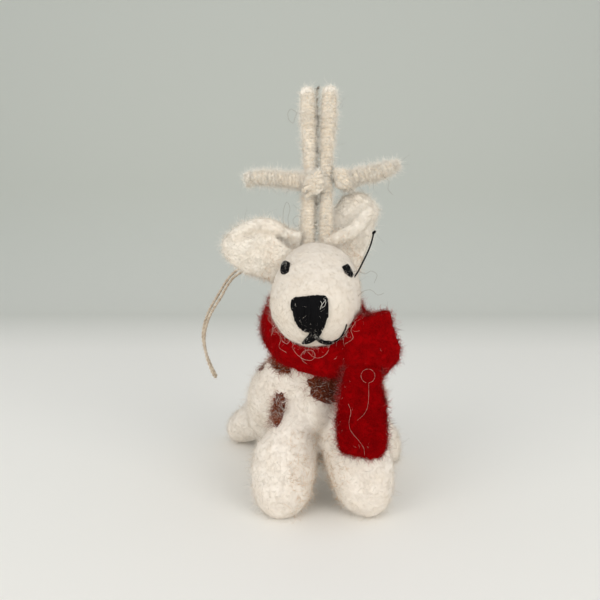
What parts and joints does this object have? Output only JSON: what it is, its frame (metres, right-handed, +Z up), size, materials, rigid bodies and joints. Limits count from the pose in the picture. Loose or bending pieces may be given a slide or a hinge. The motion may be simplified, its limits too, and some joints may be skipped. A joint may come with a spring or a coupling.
{
  "type": "felt christmas ornament",
  "caption": "Needle-felted wool reindeer sitting on its rump, with yarn-wound wire antlers, stitched face, brown patches, a red felt scarf with a hanging end, and a twine loop.",
  "frame": {"origin": "on the ground, under the middle of the figure measured without its hanging loop", "axes": "+Z up along the antlers, -Y the way that the face looks, +X to the right of someone who looks at the face"},
  "size_m": [0.0635, 0.0678, 0.1131],
  "materials": {
    "wool": "matte, felted, with stray fibres",
    "brown_wool": "matte, felted",
    "yarn": "matte, thick and soft",
    "wire": "dull",
    "thread": "slight sheen",
    "red_felt": "matte, with a fuzzy cut edge",
    "twine": "matte, twisted"
  },
  "bodies": {
    "figure": {"torso": "wool", "head": "wool", "ear_left": "wool", "ear_right": "wool", "front_leg_left": "wool", "front_leg_right": "wool", "hind_leg_left": "wool", "hind_leg_right": "wool", "tail": "wool", "antler_left_tip": "wool", "antler_right_tip": "wool", "branch_left_tip": "wool", "branch_right_tip": "wool", "branch_left_tie": "wool", "branch_right_tie": "wool", "chest_patch": "brown_wool", "collar_patch": "brown_wool", "flank_patch": "brown_wool", "shoulder_patch": "brown_wool", "antler_left_yarn": "yarn", "antler_right_yarn": "yarn", "branch_left_yarn": "yarn", "branch_right_yarn": "yarn", "antler_left_wire": "wire", "antler_right_wire": "wire", "branch_left_wire": "wire", "branch_right_wire": "wire", "eye_left": "thread", "eye_right": "thread", "nose": "thread", "mouth": "thread", "scarf_band": "red_felt", "scarf_knot": "red_felt"},
    "scarf_end": {"scarf_end": "red_felt"},
    "hang_loop": {"hang_loop": "twine"}
  },
  "joints": [
    {"name": "scarf_end_swing", "type": "hinge", "parent": "figure", "child": "scarf_end", "pos_m": [0.01162, -0.02826, 0.0376], "axis": [-1, 0, 0], "range_deg": [0, 80]},
    {"name": "hang_loop_swing", "type": "hinge", "parent": "figure", "child": "hang_loop", "pos_m": [0.00277, 0.00134, 0.0603], "axis": [0, 1, 0], "range_deg": [0, 132]}
  ]
}
